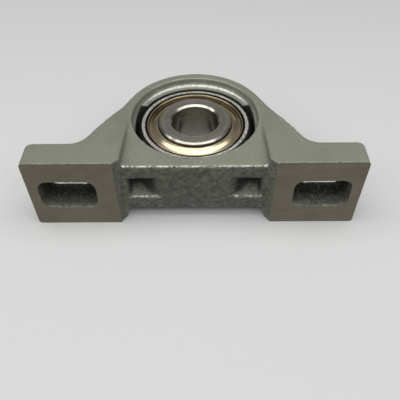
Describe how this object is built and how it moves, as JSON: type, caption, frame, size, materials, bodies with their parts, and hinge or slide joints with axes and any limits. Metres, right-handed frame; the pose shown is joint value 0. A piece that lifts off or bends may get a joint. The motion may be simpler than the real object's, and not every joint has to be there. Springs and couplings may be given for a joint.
{
  "type": "pillow block bearing",
  "caption": "Two-bolt cast pillow block with a self-aligning, sealed ball bearing insert that locks to a round shaft with set screws.",
  "frame": {"origin": "centre of the spherical seat, on the shaft axis", "axes": "+Z along the shaft axis, towards the insert's plain short end; +X along the base; +Y from the base towards the arch, so the base faces look along -Y. The unit lies on the side of its feet."},
  "size_m": [0.104, 0.0523, 0.027],
  "materials": {
    "housing_paint": "satin",
    "ring_steel": "satin",
    "ball_steel": "polished",
    "cage_steel": "satin",
    "shield_zinc": "satin",
    "lip_rubber": "matte",
    "screw_steel": "satin"
  },
  "bodies": {
    "housing": {"housing": "housing_paint"},
    "insert": {"outer_ring": "ring_steel", "front_shield": "shield_zinc", "back_shield": "shield_zinc", "front_lip_seal": "lip_rubber", "back_lip_seal": "lip_rubber"},
    "inner_race": {"inner_ring": "ring_steel"},
    "cage": {"cage_front_half": "cage_steel", "cage_back_half": "cage_steel", "cage_rivets": "cage_steel"},
    "ball_1": {"ball_1": "ball_steel"},
    "ball_2": {"ball_2": "ball_steel"},
    "ball_3": {"ball_3": "ball_steel"},
    "ball_4": {"ball_4": "ball_steel"},
    "ball_5": {"ball_5": "ball_steel"},
    "ball_6": {"ball_6": "ball_steel"},
    "ball_7": {"ball_7": "ball_steel"},
    "ball_8": {"ball_8": "ball_steel"},
    "set_screw_1": {"set_screw_1": "screw_steel"},
    "set_screw_2": {"set_screw_2": "screw_steel"}
  },
  "joints": [
    {"name": "insert_tilt", "type": "hinge", "parent": "housing", "child": "insert", "pos_m": [0, 0, 0], "axis": [1, 0, 0], "range_deg": [-3, 3]},
    {"name": "inner_ring_spin", "type": "hinge", "parent": "insert", "child": "inner_race", "pos_m": [0, 0, 0], "axis": [0, 0, 1], "continuous": true},
    {"name": "cage_spin", "type": "hinge", "parent": "insert", "child": "cage", "pos_m": [0, 0, 0], "axis": [0, 0, 1], "continuous": true},
    {"name": "ball_1_roll", "type": "hinge", "parent": "cage", "child": "ball_1", "pos_m": [0.01425, 0, 0], "axis": [0, 0, 1], "continuous": true},
    {"name": "ball_2_roll", "type": "hinge", "parent": "cage", "child": "ball_2", "pos_m": [0.01008, 0.01008, 0], "axis": [0, 0, 1], "continuous": true},
    {"name": "ball_3_roll", "type": "hinge", "parent": "cage", "child": "ball_3", "pos_m": [0, 0.01425, 0], "axis": [0, 0, 1], "continuous": true},
    {"name": "ball_4_roll", "type": "hinge", "parent": "cage", "child": "ball_4", "pos_m": [-0.01008, 0.01008, 0], "axis": [0, 0, 1], "continuous": true},
    {"name": "ball_5_roll", "type": "hinge", "parent": "cage", "child": "ball_5", "pos_m": [-0.01425, 0, 0], "axis": [0, 0, 1], "continuous": true},
    {"name": "ball_6_roll", "type": "hinge", "parent": "cage", "child": "ball_6", "pos_m": [-0.01008, -0.01008, 0], "axis": [0, 0, 1], "continuous": true},
    {"name": "ball_7_roll", "type": "hinge", "parent": "cage", "child": "ball_7", "pos_m": [0, -0.01425, 0], "axis": [0, 0, 1], "continuous": true},
    {"name": "ball_8_roll", "type": "hinge", "parent": "cage", "child": "ball_8", "pos_m": [0.01008, -0.01008, 0], "axis": [0, 0, 1], "continuous": true},
    {"name": "set_screw_1_travel", "type": "slide", "parent": "inner_race", "child": "set_screw_1", "axis": [-0.866, -0.5, 0], "range_m": [-0.001, 0.0008]},
    {"name": "set_screw_2_travel", "type": "slide", "parent": "inner_race", "child": "set_screw_2", "axis": [0.866, -0.5, 0], "range_m": [-0.001, 0.0008]}
  ],
  "couplings": [
    {"joint": "cage_spin", "follows": "inner_ring_spin", "ratio": 0.38163},
    {"joint": "ball_1_roll", "follows": "inner_ring_spin", "ratio": -1.9937},
    {"joint": "ball_2_roll", "follows": "inner_ring_spin", "ratio": -1.9937},
    {"joint": "ball_3_roll", "follows": "inner_ring_spin", "ratio": -1.9937},
    {"joint": "ball_4_roll", "follows": "inner_ring_spin", "ratio": -1.9937},
    {"joint": "ball_5_roll", "follows": "inner_ring_spin", "ratio": -1.9937},
    {"joint": "ball_6_roll", "follows": "inner_ring_spin", "ratio": -1.9937},
    {"joint": "ball_7_roll", "follows": "inner_ring_spin", "ratio": -1.9937},
    {"joint": "ball_8_roll", "follows": "inner_ring_spin", "ratio": -1.9937}
  ]
}
